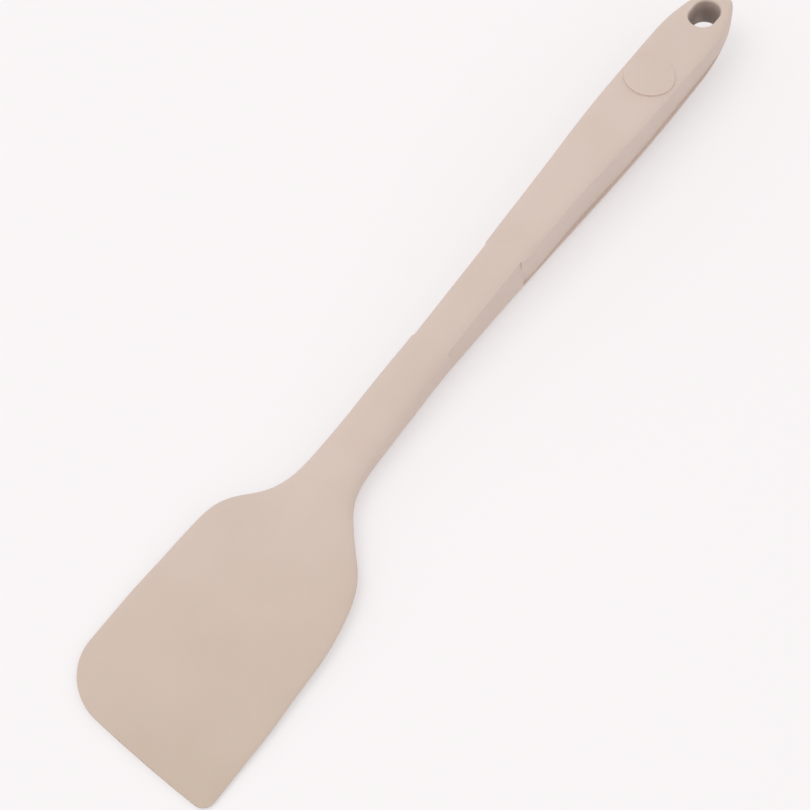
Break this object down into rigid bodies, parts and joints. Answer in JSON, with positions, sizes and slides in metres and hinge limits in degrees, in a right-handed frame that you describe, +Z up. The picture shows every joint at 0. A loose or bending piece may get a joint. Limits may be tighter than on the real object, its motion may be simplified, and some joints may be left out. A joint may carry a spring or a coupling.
{
  "type": "silicone spatula",
  "caption": "One-piece silicone kitchen spatula with a slanted blade, rounded on one corner, and a thick handle with a hanging slot.",
  "frame": {"origin": "centre of the bounding box in plan, on the table the tool lies on", "axes": "+X along the tool from the blade's tip to the handle's end, +Y towards the blade's rounded corner, +Z up"},
  "size_m": [0.2896, 0.0526, 0.0173],
  "materials": {
    "silicone": "matte",
    "nylon": "matte, glass filled",
    "spring_steel": "rolled"
  },
  "bodies": {
    "root": {"silicone_skin": "silicone", "nylon_core": "nylon", "steel_strip": "spring_steel"}
  },
  "joints": []
}
